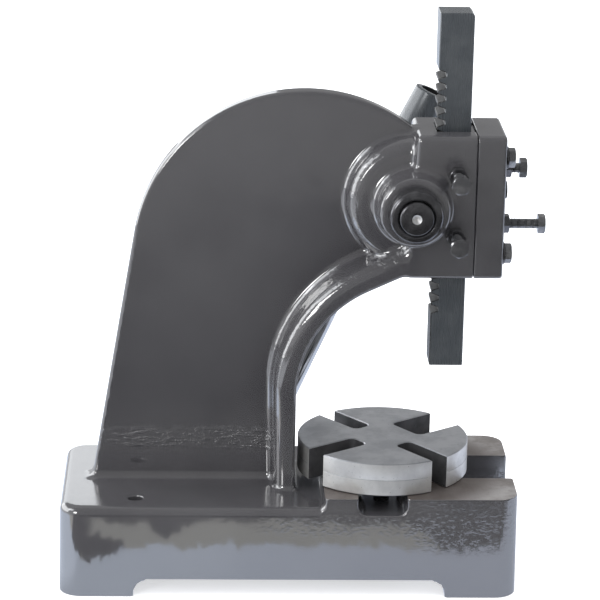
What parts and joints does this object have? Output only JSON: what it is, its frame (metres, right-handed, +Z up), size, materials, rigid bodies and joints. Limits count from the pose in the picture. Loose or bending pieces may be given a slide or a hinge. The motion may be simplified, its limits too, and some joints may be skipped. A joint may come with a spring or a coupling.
{
  "type": "arbor press",
  "caption": "Bench arbor press: one-piece cast C-frame, square rack ram, pinion shaft with sliding lever bar, adjustable gibs and a slotted round table plate.",
  "frame": {"origin": "middle of the press's outer box, at the height of the feet's undersides", "axes": "+Z up along the ram, +X towards the open front, +Y towards the lever side"},
  "size_m": [0.3632, 0.1896, 0.4358],
  "materials": {
    "enamel": "glossy dark grey enamel over a rough casting",
    "black_steel": "blackened steel, satin",
    "ram_steel": "dark ground steel bar with a film of oil",
    "polished_steel": "polished round bar",
    "machined_iron": "machined grey iron, fine tool marks",
    "black_plastic": "black moulded knob"
  },
  "bodies": {
    "press_body": {"frame": "enamel", "front_cap": "enamel", "cap_screw_1": "black_steel", "cap_screw_2": "black_steel", "cap_screw_3": "black_steel", "cap_washer_1": "black_steel", "cap_washer_2": "black_steel", "cap_washer_3": "black_steel", "front_gib_screw_1": "black_steel", "front_gib_screw_2": "black_steel", "front_gib_nut_1": "black_steel", "front_gib_nut_2": "black_steel", "side_gib_screw_1": "black_steel", "side_gib_screw_2": "black_steel", "side_gib_nut_1": "black_steel", "side_gib_nut_2": "black_steel", "front_gib": "machined_iron", "side_gib": "machined_iron", "table_pin": "black_steel"},
    "ram_body": {"ram": "ram_steel"},
    "pinion_body": {"pinion_shaft": "black_steel", "shaft_collar": "black_steel", "collar_set_screw": "black_steel", "lever_hub": "black_steel", "hub_cross_pin": "black_steel", "lever_lock_screw": "black_steel"},
    "lever_body": {"lever_bar": "polished_steel", "lever_knob": "black_plastic"},
    "table_body": {"table_plate": "machined_iron"}
  },
  "joints": [
    {"name": "pinion_turn", "type": "hinge", "parent": "press_body", "child": "pinion_body", "pos_m": [0.07994, -0.0228, 0.294], "axis": [0, 1, 0], "range_deg": [-230, 184]},
    {"name": "ram_slide", "type": "slide", "parent": "press_body", "child": "ram_body", "axis": [0, 0, 1], "range_m": [-0.06, 0.075]},
    {"name": "lever_slide", "type": "slide", "parent": "pinion_body", "child": "lever_body", "axis": [0.4067, 0, 0.9135], "range_m": [-0.005, 0.18]},
    {"name": "table_turn", "type": "hinge", "parent": "press_body", "child": "table_body", "pos_m": [0.06405, -0.0228, 0.0788], "axis": [0, 0, 1], "continuous": true}
  ],
  "couplings": [
    {"joint": "ram_slide", "follows": "pinion_turn", "m_per_rad": -0.018662}
  ]
}
